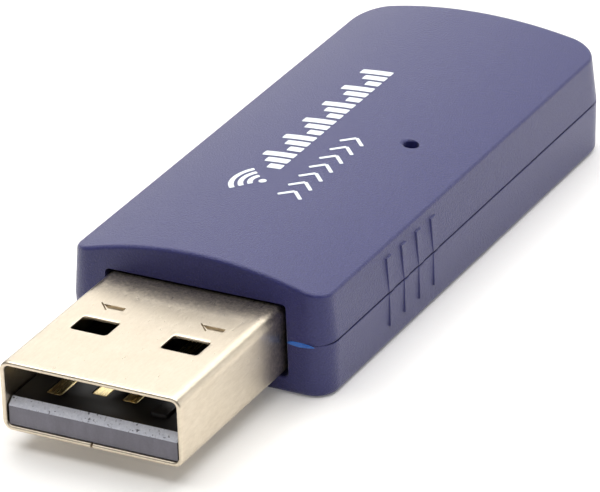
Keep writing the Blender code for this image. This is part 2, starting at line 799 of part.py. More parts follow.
def make_shield_can():
    """The drawn can over the radio, open towards the board, with a row of vents."""
    points = rounded_rectangle(CAN_LOW, CAN_HIGH, (0.5 * MM, 0.5 * MM), 3)
    shape = bmesh.new()
    face = shape.faces.new([shape.verts.new((x, y, PART_BASE + CAN_HEIGHT)) for x, y in points])
    grown = bmesh.ops.extrude_face_region(shape, geom=list(face.edges))
    moved = [v for v in grown["geom"] if isinstance(v, bmesh.types.BMVert)]
    bmesh.ops.translate(shape, verts=moved, vec=(0, 0, -CAN_HEIGHT))
    can = from_bmesh("shield_can", shape, tinned_can)
    wall = can.modifiers.new("sheet", "SOLIDIFY")
    wall.thickness = CAN_WALL
    wall.offset = -1.0
    wall.use_even_offset = True
    vents = bmesh.new()
    for index in range(5):
        centre = (CAN_LOW[0] + (1.6 + 1.6 * index) * MM, CAN_HIGH[1] - 1.2 * MM)
        cylinder_into(vents, centre, 0.35 * MM, BOARD_TOP + 1.0 * MM, CROWN_TOP, 12)
    add_boolean(can, from_bmesh("can_vents", vents, None, cutters))
    return can


def make_board_parts():
    """Everything soldered to the board's top face."""
    make_wifi_chip()
    make_thermal_pad()
    make_shield_can()
    capped_block(
        "reference_crystal",
        (-4.2 * MM, 10.9 * MM),
        (2.0 * MM, 1.6 * MM, 0.55 * MM),
        0.2 * MM,
        0.12 * MM,
        crystal_can,
    )
    capped_block(
        "power_inductor",
        (3.6 * MM, -1.2 * MM),
        (3.0 * MM, 3.0 * MM, 1.3 * MM),
        0.5 * MM,
        0.2 * MM,
        ferrite_dark,
        0.15 * MM,
    )
    lamp = (1.6 * MM, 0.8 * MM, 0.6 * MM)
    stepped_part("status_light", (LIGHT_X, LIGHT_Y), lamp, 0.3 * MM, lamp_resin)
    leaded_package(
        "voltage_regulator",
        (-3.9 * MM, -1.4 * MM),
        (2.9 * MM, 1.6 * MM, 1.1 * MM),
        3,
        0.95 * MM,
        chip_resin,
    )
    leaded_package(
        "settings_memory",
        (4.9 * MM, 10.3 * MM),
        (3.0 * MM, 1.8 * MM, 0.9 * MM),
        4,
        0.65 * MM,
        chip_resin,
    )
    leaded_package(
        "surge_protector",
        (0.0, -1.6 * MM),
        (1.9 * MM, 1.2 * MM, 0.8 * MM),
        3,
        0.65 * MM,
        chip_resin,
    )

    make_small_parts()


def make_small_parts():
    """The two-terminal chip parts, kind by kind: their size, end caps, material and places in mm."""
    bulk = (2.0 * MM, 1.25 * MM, 1.1 * MM)
    middling = (1.6 * MM, 0.8 * MM, 0.7 * MM)
    small = (1.0 * MM, 0.5 * MM, 0.5 * MM)
    thin = (1.0 * MM, 0.5 * MM, 0.35 * MM)
    resistors = [(-1.4, 0.6), (0.2, 0.6), (6.2, 5.0), (6.2, 7.4)]
    matching = [(-3.2, 15.4), (-1.9, 15.4), (-0.6, 15.4)]
    beside_can = [(-5.4, 3.0), (-5.4, 4.6), (-5.4, 6.2), (-5.4, 7.8), (2.3, 3.0), (2.3, 9.4)]
    kinds = (
        ("bulk_capacitor", bulk, 0.4, capacitor_ceramic, False, [(-5.0, 13.6), (4.9, 2.6)]),
        ("bypass_capacitor", small, 0.25, capacitor_ceramic, True, beside_can),
        ("crystal_capacitor", small, 0.25, capacitor_ceramic, True, [(-5.6, 11.6), (-2.2, 11.0)]),
        ("chip_resistor", thin, 0.2, resistor_black, True, resistors),
        ("antenna_matching_part", small, 0.25, capacitor_ceramic, True, matching),
        ("antenna_filter", middling, 0.3, crystal_can, False, [(-1.6, 13.6)]),
        ("supply_ferrite_bead", middling, 0.3, ferrite_dark, False, [(5.9, -3.4)]),
    )
    for kind, size, terminal, material, turned, places in kinds:
        for index, (x, y) in enumerate(places, 1):
            name = f"{kind}_{index}" if len(places) > 1 else kind
            stepped_part(name, (x * MM, y * MM), size, terminal * MM, material, turned)


def build():
    pocket = pocket_cutter()
    make_upper_shell(pocket)
    make_lower_shell(pocket)
    make_plug_shell()
    make_insulator()
    make_contacts()
    make_board()
    make_antenna()
    make_board_parts()
    for obj in parts.objects:
        if obj.type == "MESH":
            smooth_round_faces(obj)


build()
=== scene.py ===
# Looks of a small wireless network adapter: a two-part plastic case with a USB-A plug.
# Sizes are in millimetres and go to metres as a mesh is made.
import math

import bmesh
import bpy
import numpy as np
from mathutils import Matrix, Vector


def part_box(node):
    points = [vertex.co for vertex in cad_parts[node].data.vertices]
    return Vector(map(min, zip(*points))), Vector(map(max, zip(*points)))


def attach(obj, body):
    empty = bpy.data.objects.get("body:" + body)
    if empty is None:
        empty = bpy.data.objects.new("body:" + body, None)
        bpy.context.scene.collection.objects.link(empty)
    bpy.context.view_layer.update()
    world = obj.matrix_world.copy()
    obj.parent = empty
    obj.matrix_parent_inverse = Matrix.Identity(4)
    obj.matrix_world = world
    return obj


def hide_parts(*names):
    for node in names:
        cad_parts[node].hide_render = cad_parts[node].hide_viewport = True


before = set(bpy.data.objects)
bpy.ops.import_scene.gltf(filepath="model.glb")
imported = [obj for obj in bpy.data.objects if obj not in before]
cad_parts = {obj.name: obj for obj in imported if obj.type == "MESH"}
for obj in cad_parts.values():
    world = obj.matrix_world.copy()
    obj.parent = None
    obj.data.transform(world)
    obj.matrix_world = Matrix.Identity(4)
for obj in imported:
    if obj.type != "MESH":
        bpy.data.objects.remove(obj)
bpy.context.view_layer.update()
mm = 0.001
print("frame loaded:", len(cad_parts), "nodes")


def nodeBox(name):
    low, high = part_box(name)  # lowest and highest corner of a node
    return np.array(low) / mm, np.array(high) / mm


camera = {
    "place": (134.794, -245.087, 141.678),
    "azimuth": 28.833,  # degrees round from -Y towards +X
    "elevation": 26.470,
    "roll": -2.293,
    "lens": 304.3,
}


def makeCamera():
    # The camera looks along its own -Z, so it tips up from straight down, turns round Z and then rolls
    data = bpy.data.cameras.new("camera")
    data.lens = camera["lens"]
    data.sensor_width = 36.0
    data.clip_start = 0.01
    viewer = bpy.data.objects.new("camera", data)
    turn = Matrix.Rotation(math.radians(camera["azimuth"]), 4, "Z")
    tip = Matrix.Rotation(math.radians(90 - camera["elevation"]), 4, "X")
    roll = Matrix.Rotation(math.radians(camera["roll"]), 4, "Z")
    viewer.matrix_world = Matrix.Translation([v * mm for v in camera["place"]]) @ turn @ tip @ roll
    bpy.context.scene.collection.objects.link(viewer)
    bpy.context.scene.camera = viewer


lights = {
    # name: (place, target, size, radiance), in metres, with white paper at 1
    "topPanel": ((-0.1, 0.36, 0.9), (-0.1, 0.36, 0), (1.3, 1.7), 2.5),
    "highLamp": ((-0.42, 0.25, 0.85), (0, 0, 0), (0.26, 0.26), 5.0),
    "backPanel": ((0.1, 0.95, 0.3), (0, 0, 0.02), (2.2, 0.6), 0.8),
    "backLeftPanel": ((-0.26, 0.36, 0.12), (-0.02, 0.02, 0), (0.2, 0.16), 1.1),
    "rightPanel": ((0.85, 0.4, 0.35), (0, 0, 0), (0.8, 0.5), 0.5),
}


def makeLight(name, place, target, size, radiance):
    data = bpy.data.lights.new(name, "AREA")
    data.shape = "RECTANGLE"
    data.size = size[0]
    data.size_y = size[1]
    data.energy = radiance * math.pi * size[0] * size[1]
    lamp = bpy.data.objects.new(name, data)
    aim = np.array(target) - np.array(place)
    lamp.matrix_world = Matrix.Translation(place) @ Matrix(lookAlong(aim)).to_4x4()
    bpy.context.scene.collection.objects.link(lamp)


def lookAlong(aim):
    back = -aim / np.linalg.norm(aim)
    right = np.cross((0.0, 1.0, 0.0) if abs(back[2]) > 0.99 else (0.0, 0.0, 1.0), back)
    right = right / np.linalg.norm(right)
    return np.stack([right, np.cross(back, right), back], axis=1).tolist()


def toLinear(hexColour):
    channels = np.array([int(hexColour[i : i + 2], 16) / 255 for i in (1, 3, 5)])
    low = channels / 12.92
    high = ((channels + 0.055) / 1.055) ** 2.4
    return (*np.where(channels <= 0.04045, low, high).tolist(), 1.0)


def addNode(tree, kind, inputs=None, **settings):
    made = tree.nodes.new(kind)
    for key, value in settings.items():
        setattr(made, key, value)
    for key, value in (inputs or {}).items():
        if isinstance(value, bpy.types.NodeSocket):
            tree.links.new(value, made.inputs[key])
        else:
            made.inputs[key].default_value = value
    return made


def newMaterial(name):
    material = bpy.data.materials.new(name)
    material.use_nodes = True
    tree = material.node_tree
    shader = tree.nodes["Principled BSDF"]
    place = addNode(tree, "ShaderNodeTexCoord").outputs["Object"]
    return material, tree, shader, place


def spread(tree, value, low, high):
    # Carries a 0 to 1 pattern to the range from low to high
    return addNode(
        tree, "ShaderNodeMapRange", {"Value": value, "To Min": low, "To Max": high}
    ).outputs["Result"]


def mixColours(tree, factor, first, second):
    node = addNode(tree, "ShaderNodeMix", {"Factor": factor}, data_type="RGBA")
    for socket, colour in ((node.inputs[6], first), (node.inputs[7], second)):
        if isinstance(colour, bpy.types.NodeSocket):
            tree.links.new(colour, socket)
        else:
            socket.default_value = toLinear(colour)
    return node.outputs[2]


def noise(tree, place, size, detail=2.0, roughness=0.5):
    # A cloudy pattern whose lumps are size millimetres across
    return addNode(
        tree,
        "ShaderNodeTexNoise",
        {"Vector": place, "Scale": 1 / (size * mm), "Detail": detail, "Roughness": roughness},
    ).outputs["Fac"]


def setBump(tree, shader, height, depth, strength=1.0):
    bump = addNode(
        tree, "ShaderNodeBump", {"Height": height, "Distance": depth * mm, "Strength": strength}
    )
    tree.links.new(bump.outputs["Normal"], shader.inputs["Normal"])


def caseAbs():
    # Navy ABS moulded against a fine spark-eroded face: a sandy grain that greys out at a low angle
    material, tree, shader, place = newMaterial("navy_ABS_fine_spark_eroded")
    grain = noise(tree, place, 0.11, 3.0, 0.65)
    cloud = noise(tree, place, 4.0, 2.0)
    toned = mixColours(tree, spread(tree, grain, 0.0, 1.0), "#08083a", "#37377f")
    toned = mixColours(tree, spread(tree, cloud, 0.0, 0.25), toned, "#1f2166")
    tree.links.new(toned, shader.inputs["Base Color"])
    tree.links.new(spread(tree, grain, 0.46, 0.32), shader.inputs["Roughness"])
    shader.inputs["IOR"].default_value = 1.53
    shader.inputs["Sheen Weight"].default_value = 0.3
    shader.inputs["Sheen Roughness"].default_value = 0.35
    setBump(tree, shader, grain, 0.055, 0.9)
    return material


# Painted shade on the plug by the case: where it starts and is full along Y, and how dark
paintedCaseShade = {"starts": -17.0, "full": -13.4, "strength": 0.8}  # along Y, in the corner by the case


def plugNickel():
    # Drawn steel plated with bright nickel: warm, softly brushed, with faint handling marks and a painted
    # shade by the case
    material, tree, shader, place = newMaterial("nickel_plated_drawn_steel")
    stretched = addNode(
        tree, "ShaderNodeMapping", {"Vector": place, "Scale": (1.0, 0.25, 1.0)}
    ).outputs["Vector"]
    drawn = noise(tree, stretched, 0.17, 4.0, 0.65)
    marks = noise(tree, place, 1.6, 5.0, 0.7)
    toned = mixColours(tree, marks, "#d9ccb6", "#ede2cf")
    toned = mixColours(tree, spread(tree, drawn, 0.0, 0.5), toned, "#ab9c86")
    # Painted shade: the plating is darkened in the corner by the case, standing for the case front's dark
    # reflection, broken up by a grainy noise
    corner = addNode(
        tree,
        "ShaderNodeMapRange",
        {
            "Value": addNode(tree, "ShaderNodeSeparateXYZ", {"Vector": place}).outputs["Y"],
            "From Min": paintedCaseShade["starts"] * mm,
            "From Max": paintedCaseShade["full"] * mm,
            "To Max": paintedCaseShade["strength"],
        },
        interpolation_type="SMOOTHSTEP",
    ).outputs["Result"]
    shadeBreakup = addNode(
        tree,
        "ShaderNodeMapRange",
        {"Value": noise(tree, place, 0.22, 4.0, 0.7), "From Min": 0.3, "From Max": 0.62},
    ).outputs["Result"]
    paintedShade = addNode(tree, "ShaderNodeMath", {0: corner, 1: shadeBreakup}, operation="MULTIPLY").outputs["Value"]
    toned = mixColours(tree, paintedShade, toned, "#7d7468")
    tree.links.new(toned, shader.inputs["Base Color"])
    shader.inputs["Metallic"].default_value = 1.0
    tree.links.new(spread(tree, drawn, 0.2, 0.44), shader.inputs["Roughness"])
    setBump(tree, shader, drawn, 0.015, 0.7)
    return material


def tonguePlastic():
    # Black glass-filled plug plastic, gloss moulded and seen only in the shade of the plug
    material, tree, shader, place = newMaterial("black_glass_filled_plastic")
    grit = noise(tree, place, 0.18, 4.0, 0.7)
    tree.links.new(mixColours(tree, grit, "#141214", "#242225"), shader.inputs["Base Color"])
    tree.links.new(spread(tree, grit, 0.3, 0.45), shader.inputs["Roughness"])
    shader.inputs["IOR"].default_value = 1.56
    setBump(tree, shader, grit, 0.006, 0.5)
    return material


def greyReflectionPlastic():
    # The tongue's front face: the black plastic painted grey as a painted reflection of the bright
    # surroundings, with faint upright smears
    material, tree, shader, place = newMaterial("glass_filled_plastic_painted_grey_reflection")
    grit = noise(tree, place, 0.14, 4.0, 0.7)
    upright = addNode(
        tree, "ShaderNodeMapping", {"Vector": place, "Scale": (1.0, 1.0, 0.3)}
    ).outputs["Vector"]
    smear = noise(tree, upright, 1.1, 4.0, 0.65)
    toned = mixColours(tree, smear, "#63606a", "#8b8995")
    toned = mixColours(tree, spread(tree, grit, 0.0, 0.4), toned, "#55525b")
    tree.links.new(toned, shader.inputs["Base Color"])
    tree.links.new(spread(tree, grit, 0.45, 0.65), shader.inputs["Roughness"])
    shader.inputs["IOR"].default_value = 1.56
    setBump(tree, shader, grit, 0.012, 0.6)
    return material


def paleReflectionPlastic():
    # The tongue's lead-in slope: the black plastic painted pale as a painted reflection of the bright
    # light, gritty with small dark pits
    material, tree, shader, place = newMaterial("glass_filled_plastic_painted_pale_reflection")
    grit = noise(tree, place, 0.24, 5.0, 0.75)
    pits = addNode(
        tree,
        "ShaderNodeMapRange",
        {"Value": noise(tree, place, 0.2, 2.0, 0.5), "From Min": 0.6, "From Max": 0.72},
    ).outputs["Result"]
    toned = mixColours(tree, grit, "#a9acbd", "#f2f4fb")
    toned = mixColours(tree, pits, toned, "#5f5f6c")
    tree.links.new(toned, shader.inputs["Base Color"])
    tree.links.new(spread(tree, grit, 0.35, 0.6), shader.inputs["Roughness"])
    setBump(tree, shader, grit, 0.02, 0.7)
    return material


def contactGold():
    # Flash gold over nickel, satin from use, with fine drawing lines along the strip
    material, tree, shader, place = newMaterial("gold_flashed_contact")
    along = addNode(
        tree, "ShaderNodeMapping", {"Vector": place, "Scale": (1.0, 0.05, 1.0)}
    ).outputs["Vector"]
    lines = noise(tree, along, 0.09, 3.0, 0.6)
    tree.links.new(mixColours(tree, lines, "#e3c98c", "#f6e6b8"), shader.inputs["Base Color"])
    shader.inputs["Metallic"].default_value = 1.0
    tree.links.new(spread(tree, lines, 0.18, 0.36), shader.inputs["Roughness"])
    setBump(tree, shader, lines, 0.004, 0.6)
    return material


def glintPaintedPlastic():
    # A painted glint: the navy ABS coloured bright blue for the light caught in the seam beside the plug
    material, tree, shader, place = newMaterial("bright_blue_painted_seam_glint")
    cloud = noise(tree, place, 0.3, 2.0)
    tree.links.new(mixColours(tree, cloud, "#1a48a0", "#3f80dc"), shader.inputs["Base Color"])
    shader.inputs["Roughness"].default_value = 0.25
    shader.inputs["IOR"].default_value = 1.53
    return material


def whiteInk():
    # Pad-printed ink, a thin white film that follows the grain of the plastic
    material, tree, shader, place = newMaterial("white_pad_print_ink")
    grain = noise(tree, place, 0.16, 3.0, 0.6)
    tree.links.new(mixColours(tree, grain, "#dfe6ea", "#f6fbfb"), shader.inputs["Base Color"])
    tree.links.new(spread(tree, grain, 0.5, 0.7), shader.inputs["Roughness"])
    setBump(tree, shader, grain, 0.006, 0.5)
    return material


def plainFinish(name, dark, light, grainSize, roughness, metallic=0.0, depth=0.004):
    # A finish seen only with the case open: two close tones in a fine grain
    material, tree, shader, place = newMaterial(name)
    grain = noise(tree, place, grainSize, 3.0, 0.6)
    tree.links.new(mixColours(tree, grain, dark, light), shader.inputs["Base Color"])
    tree.links.new(spread(tree, grain, roughness - 0.06, roughness + 0.08), shader.inputs["Roughness"])
    shader.inputs["Metallic"].default_value = metallic
    setBump(tree, shader, grain, depth, 0.6)
    return material


def floorPaper():
    # A matt pale table lit a little from below, which keeps the shadows light
    material, tree, shader, place = newMaterial("pale_lit_table")
    fibre = noise(tree, place, 0.5, 3.0)
    tree.links.new(mixColours(tree, fibre, "#f0eeeb", "#f3f1ee"), shader.inputs["Base Color"])
    shader.inputs["Roughness"].default_value = 0.9
    shader.inputs["Emission Color"].default_value = toLinear("#ffffff")
    shader.inputs["Emission Strength"].default_value = 0.12
    return material


def gridFaces(rows, columns):
    # Four-sided faces between neighbouring points of a grid, closed round the columns
    index = np.arange(rows * columns).reshape(rows, columns)
    index = np.concatenate([index, index[:, :1]], axis=1)
    corners = [index[:-1, :-1], index[:-1, 1:], index[1:, 1:], index[1:, :-1]]
    return np.stack(corners, axis=-1).reshape(-1, 4)


def makePiece(name, points, faces, material, sharp=35.0):
    mesh = bpy.data.meshes.new(name)
    mesh.vertices.add(len(points))
    mesh.vertices.foreach_set("co", (np.asarray(points) * mm).ravel())
    mesh.loops.add(faces.size)
    mesh.loops.foreach_set("vertex_index", faces.astype(np.int32).ravel())
    mesh.polygons.add(len(faces))
    mesh.polygons.foreach_set("loop_start", np.arange(0, faces.size, faces.shape[1], dtype=np.int32))
    mesh.update(calc_edges=True)
    shape = bmesh.new()
    shape.from_mesh(mesh)
    bmesh.ops.remove_doubles(shape, verts=shape.verts, dist=1e-6)
    bmesh.ops.dissolve_degenerate(shape, dist=1e-7, edges=shape.edges)
    shape.to_mesh(mesh)
    shape.free()
    mesh.materials.append(material)
    finishNormals(mesh, sharp)
    piece = bpy.data.objects.new(name, mesh)
    bpy.context.scene.collection.objects.link(piece)
    return piece


def finishNormals(mesh, sharp):
    mesh.shade_smooth()
    mesh.set_sharp_from_angle(angle=math.radians(sharp))


def cutAway(piece, cutters, sharp=35.0):
    # Takes the cutters out of the piece for good
    for cutter in cutters:
        modifier = piece.modifiers.new("cut", "BOOLEAN")
        modifier.object = cutter
        modifier.solver = "EXACT"
    depsgraph = bpy.context.evaluated_depsgraph_get()
    mesh = bpy.data.meshes.new_from_object(piece.evaluated_get(depsgraph))
    piece.modifiers.clear()
    piece.data = mesh
    finishNormals(mesh, sharp)
    for cutter in cutters:
        bpy.data.objects.remove(cutter)


def quarterTurn(centre, radius, start, steps):
    # Points and outward directions of a quarter circle
    angle = math.radians(start) + np.linspace(0, math.pi / 2, steps + 1)
    normal = np.stack([np.cos(angle), np.sin(angle)], axis=1)
    return np.array(centre) + radius * normal, normal


def straightRun(start, end, stops, normal):
    start, end = np.array(start), np.array(end)
    points = start + np.outer(stops, end - start)
    return points, np.tile(np.array(normal, float), (len(stops), 1))


def roundedOutline(low, high, radii, acrossStops, alongStops, steps=10):
    # A rectangle with rounded corners, anticlockwise from its lower left. radii are the lower and
    # upper corners' and the stops run from 0 to 1 along the straight sides
    near, far = radii
    runs = [
        straightRun((low[0] + near, low[1]), (high[0] - near, low[1]), acrossStops, (0, -1)),
        quarterTurn((high[0] - near, low[1] + near), near, -90, steps),
        straightRun((high[0], low[1] + near), (high[0], high[1] - far), alongStops, (1, 0)),
        quarterTurn((high[0] - far, high[1] - far), far, 0, steps),
        straightRun((high[0] - far, high[1]), (low[0] + far, high[1]), acrossStops, (0, 1)),
        quarterTurn((low[0] + far, high[1] - far), far, 90, steps),
        straightRun((low[0], high[1] - far), (low[0], low[1] + near), 1 - alongStops[::-1], (-1, 0)),
        quarterTurn((low[0] + near, low[1] + near), near, 180, steps),
    ]
    return np.concatenate([r[0] for r in runs]), np.concatenate([r[1] for r in runs])


def innerStops(count):
    return np.linspace(0, 1, count + 2)[1:-1]


def smoothStep(value):
    value = np.clip(value, 0, 1)
    return value * value * (3 - 2 * value)


caseLow, caseHigh = nodeBox("lower_shell")
crownTop = nodeBox("upper_shell")[1][2]
gripStand = 0.04  # the ribs stand this far outside the case at the seam

case = {
    "halfWidth": caseHigh[0] - gripStand,
    "frontY": caseLow[1],
    "farY": caseHigh[1],
    "crownTop": crownTop,
    "frontCorner": 1.6,
    "farCorner": 2.5,
    "seam": 3.52,
    "crease": 6.54,
    "upperDraft": 0.26,
    "lowerDraft": 0.12,
    "creaseRound": 0.27,
    "farRound": 0.85,  # the antenna end's top edge is much softer
    "footRound": 0.4,
    "seamGap": 0.09,
    "seamClosed": 0.8,  # the share of the gap that closes up on the plug's end
    "seamTurn": (0.2, 0.6),  # from what share of the corner's turn, and over what share
    "seamEdge": 0.05,
    "wall": 1.1,
    "floorWall": 0.9,
    "innerDraft": 0.2,
    "lipInset": 0.62,
    "lipRise": 0.5,
    "fitGap": 0.08,
    "gripCount": 4,
    "gripPitch": 1.97,
    "gripFirst": -5.5,
    "gripWidth": 0.72,
    "gripEdge": 0.05,  # how far a rib's flanks and ends take to rise
    "gripFall": 0.05,  # how much a rib's face leans in for each millimetre above the seam
    "gripLow": 1.27,
    "gripHigh": 5.82,
    "lightHole": 0.5,  # its radius
}
# The slopes say how far a wall leans in for each millimetre from the seam
case["upperSlope"] = case["upperDraft"] / (case["crease"] - case["seam"])
case["lowerSlope"] = case["lowerDraft"] / case["seam"]
crownChord = case["halfWidth"] - case["upperDraft"]
crownRise = case["crownTop"] - case["crease"]
crownRadius = (crownChord**2 + crownRise**2) / (2 * crownRise)


def crownHeight(x):
    # The roof is part of a cylinder that lies along Y
    return case["crownTop"] - crownRadius + np.sqrt(crownRadius**2 - x**2)


def crownFall(x):
    return x / np.sqrt(crownRadius**2 - x**2)  # how steeply it falls away from the middle


def caseOutline():
    ribs = case["gripFirst"] + case["gripPitch"] * np.arange(case["gripCount"])
    flanks = np.concatenate([ribs, ribs + case["gripWidth"] - case["gripEdge"]])
    close = (flanks[:, None] + np.linspace(-0.5, 1.5, 17) * case["gripEdge"]).ravel()
    start, end = case["frontY"] + case["frontCorner"], case["farY"] - case["farCorner"]
    along = np.unique(np.concatenate([np.linspace(start, end, 150)[1:-1], close]))
    return roundedOutline(
        (-case["halfWidth"], case["frontY"]),
        (case["halfWidth"], case["farY"]),
        (case["frontCorner"], case["farCorner"]),
        innerStops(70),
        (along - start) / (end - start),
        12,
    )


def gripRise(y, height, wallOutset, onSide):
    # Grip ribs stand out to a face that is nearly upright, so they grow as the wall drafts away.
    # Their flanks and ends rise over a short smooth step
    edge, width = case["gripEdge"], case["gripWidth"]
    index = np.clip(np.floor((y - case["gripFirst"]) / case["gripPitch"]), 0, case["gripCount"] - 1)
    inside = y - case["gripFirst"] - index * case["gripPitch"]
    flanks = smoothStep(inside / edge) * smoothStep((width - inside) / edge)
    ends = smoothStep((height - case["gripLow"]) / edge) * smoothStep((case["gripHigh"] - height) / edge)
    face = gripStand - case["gripFall"] * np.maximum(height - case["seam"], 0)
    return (face - wallOutset) * flanks * ends * onSide


def wallHeights(low, high, end):
    # Even rows up a wall, with close rows where the ribs end
    close = end + np.linspace(-1.2, 1.2, 13) * case["gripEdge"]
    share = (close - low.mean()) / (high.mean() - low.mean())
    share = share[(share > 0) & (share < 1)]
    return np.unique(np.concatenate([np.linspace(0, 1, 30), share]))[1:]


def caseRows(base, normal, profile):
    # Carries each (outset, height) pair of the profile round the outline
    rows = []
    for outset, height in profile:
        outsets = np.broadcast_to(outset, len(base))[:, None]
        heights = np.broadcast_to(height, len(base))
        rows.append(np.column_stack([base + outsets * normal, heights]))
    return np.stack(rows)


def towardsSpine(edge, steps, heightAt):
    # Draws the edge in to a line down the middle, row by row, with the height given across
    reach = case["halfWidth"]
    spine = np.clip(edge[:, 1], case["frontY"] + reach, case["farY"] - reach)
    share = (np.linspace(0, 1, steps + 1)[1:] ** 1.25)[:, None]
    x = edge[:, 0] * (1 - share)
    y = edge[:, 1] + (spine - edge[:, 1]) * share
    return np.stack([x, y, heightAt(x)], axis=-1)


def roundedEdge(wallNormal, roofNormal, corner, radius, steps):
    # A ball rolled along the corner of two faces: the arc between its two touching points
    both = 1 + np.sum(wallNormal * roofNormal, axis=1)
    centre = corner - (radius / both)[:, None] * (wallNormal + roofNormal)
    start = np.arctan2(wallNormal[:, 1], wallNormal[:, 0])
    end = np.arctan2(roofNormal[:, 1], roofNormal[:, 0])
    arcs = []
    for share in np.linspace(0, 1, steps + 1):
        angle = start + (end - start) * share
        arcs.append(centre + radius[:, None] * np.column_stack([np.cos(angle), np.sin(angle)]))
    return arcs


def seamShare(normal):
    # The seam is open along the sides and closes up round the corners to the plug's end
    start, length = case["seamTurn"]
    return 1 - case["seamClosed"] * smoothStep((-normal[:, 1] - start) / length)


def upperCase(material):
    # One closed profile: under the roof, down the inner wall, round the lip's rebate and the seam's
    # edge, up the drafted and ribbed wall, over the crease and in to the spine of the crown
    base, normal = caseOutline()
    onSide = (np.abs(normal[:, 0]) > 0.999) * 1.0
    slope = case["upperSlope"]
    outset = np.full(len(base), -case["upperDraft"])
    for _ in range(4):
        top = crownHeight(base[:, 0] + outset * normal[:, 0])
        outset = -slope * (top - case["seam"])
    fall = crownFall(base[:, 0] + outset * normal[:, 0]) * normal[:, 0]
    wallNormal = np.tile(np.array([1.0, slope]) / math.hypot(1, slope), (len(base), 1))
    roofNormal = np.column_stack([fall, np.ones(len(base))]) / np.sqrt(fall**2 + 1)[:, None]
    soft = smoothStep(normal[:, 1]) * (1 - (base[:, 0] / case["halfWidth"]) ** 2)
    radius = case["creaseRound"] + (case["farRound"] - case["creaseRound"]) * soft
    crease = roundedEdge(wallNormal, roofNormal, np.column_stack([outset, top]), radius, 9)
    lipTop = case["seam"] + case["lipRise"] + case["fitGap"]
    foot = case["seam"] + case["seamGap"] / 2 * seamShare(normal)
    stand = gripRise(base[:, 1], foot, 0 * foot, onSide)
    rebate = -case["lipInset"] + case["fitGap"]
    edge = case["seamEdge"] * seamShare(normal)
    inner = [
        (outset - case["wall"], top - case["wall"]),
        (-case["wall"] * np.ones(len(base)), lipTop),
        (rebate, lipTop),
        (rebate, foot),
        (stand - edge, foot),
        (stand - edge * 0.3, foot + edge * 0.3),
        (stand, foot + edge),
    ]
    wall = []
    wallTop = crease[0][:, 1]
    for share in wallHeights((foot + edge)[onSide > 0], wallTop[onSide > 0], case["gripHigh"]):
        height = foot + edge + (wallTop - foot - edge) * share
        outset = -slope * (height - case["seam"])
        wall.append((outset + gripRise(base[:, 1], height, outset, onSide), height))
    profile = inner + wall + [(arc[:, 0], arc[:, 1]) for arc in crease[1:]]
    rows = caseRows(base, normal, profile)
    roof = towardsSpine(rows[-1], 34, crownHeight)
    ceiling = towardsSpine(rows[0], 10, lambda x: crownHeight(x) - case["wall"])[::-1]
    points = np.concatenate([ceiling, rows, roof])
    return makePiece("case_upper", points.reshape(-1, 3), gridFaces(*points.shape[:2]), material)


def lowerCase(material):
    # One closed profile: from the underside's spine out to the foot, round it, up the drafted wall to
    # the seam, over the lip that locates the upper half and back down to the inside of the floor
    base, normal = caseOutline()
    onSide = (np.abs(normal[:, 0]) > 0.999) * 1.0
    slope = case["lowerSlope"]
    top = case["seam"] - case["seamGap"] / 2 * seamShare(normal)
    edge = case["seamEdge"] * seamShare(normal)
    count = len(base)
    down = np.tile(np.array([0.0, -1.0]), (count, 1))
    out = np.tile(np.array([1.0, -slope]) / math.hypot(1, slope), (count, 1))
    corner = np.tile(np.array([-slope * case["seam"], 0.0]), (count, 1))
    foot = roundedEdge(out, down, corner, np.full(count, case["footRound"]), 8)[::-1]
    wall = []
    start = foot[-1][:, 1]
    for share in wallHeights(start[onSide > 0], (top - edge)[onSide > 0], case["gripLow"]):
        height = start + (top - edge - start) * share
        outset = -slope * (case["seam"] - height)
        wall.append((outset + gripRise(base[:, 1], height, outset, onSide), height))
    stand = gripRise(base[:, 1], top, 0 * top, onSide)
    seam = [
        (stand - edge * 0.3, top - edge * 0.3),
        (stand - edge, top),
        (-case["lipInset"], top),
        (-case["lipInset"], case["seam"] + case["lipRise"]),
        (-case["wall"], case["seam"] + case["lipRise"]),
        (-case["wall"] - case["innerDraft"], case["floorWall"]),
    ]
    rows = caseRows(base, normal, [(arc[:, 0], arc[:, 1]) for arc in foot] + wall + seam)
    under = towardsSpine(rows[0], 12, lambda x: 0 * x)[::-1]
    inside = towardsSpine(rows[-1], 8, lambda x: 0 * x + case["floorWall"])
    points = np.concatenate([under, rows, inside])
    return makePiece("case_lower", points.reshape(-1, 3), gridFaces(*points.shape[:2]), material)


plugLow, plugHigh = nodeBox("usb_plug_shell")

plug = {
    "low": plugLow,
    "high": plugHigh,
    "corner": 0.64,
    "sheet": 0.3,
    "lipRound": 0.13,
    "windowStart": 5.19,
    "windowLength": 1.76,
    "windowInner": 1.8,
    "windowWidth": 2.46,
    "windowCorner": 0.25,
    "windowEdge": 0.05,
    "windowFlare": 0.2,  # how far the punch breaks out inside the sheet
    "slit": 0.06,
    "slitX": -0.05,
    "notchLength": 0.3,
    "notchHalf": (0.1, 0.07),  # half its width outside the mouth and just inside it
    "markDepth": 0.16,
    "markSlant": 0.025,  # its walls lean out by this much on either side of the drawn shape
    "markStep": 6.7,
    "markPad": ((-3.95, 8.72), (-3.42, 8.3), (-2.45, 8.3), (-2.45, 8.72)),
    "markNick": ((-4.18, 8.8), (-3.5, 8.06), (-3.42, 8.12), (-4.1, 8.86)),
    "pocketGap": (0.12, 0.13),
    "pocketCorner": 0.3,
    "pocketRound": 0.06,
    "pocketDepth": 4.1,
    "pocketSet": 0.12,  # the drafted wall has drawn back about this far at the pocket's edges
}
overcut = {"along": 0.3, "above": 0.2}  # how far a cutter runs on past the face that it cuts


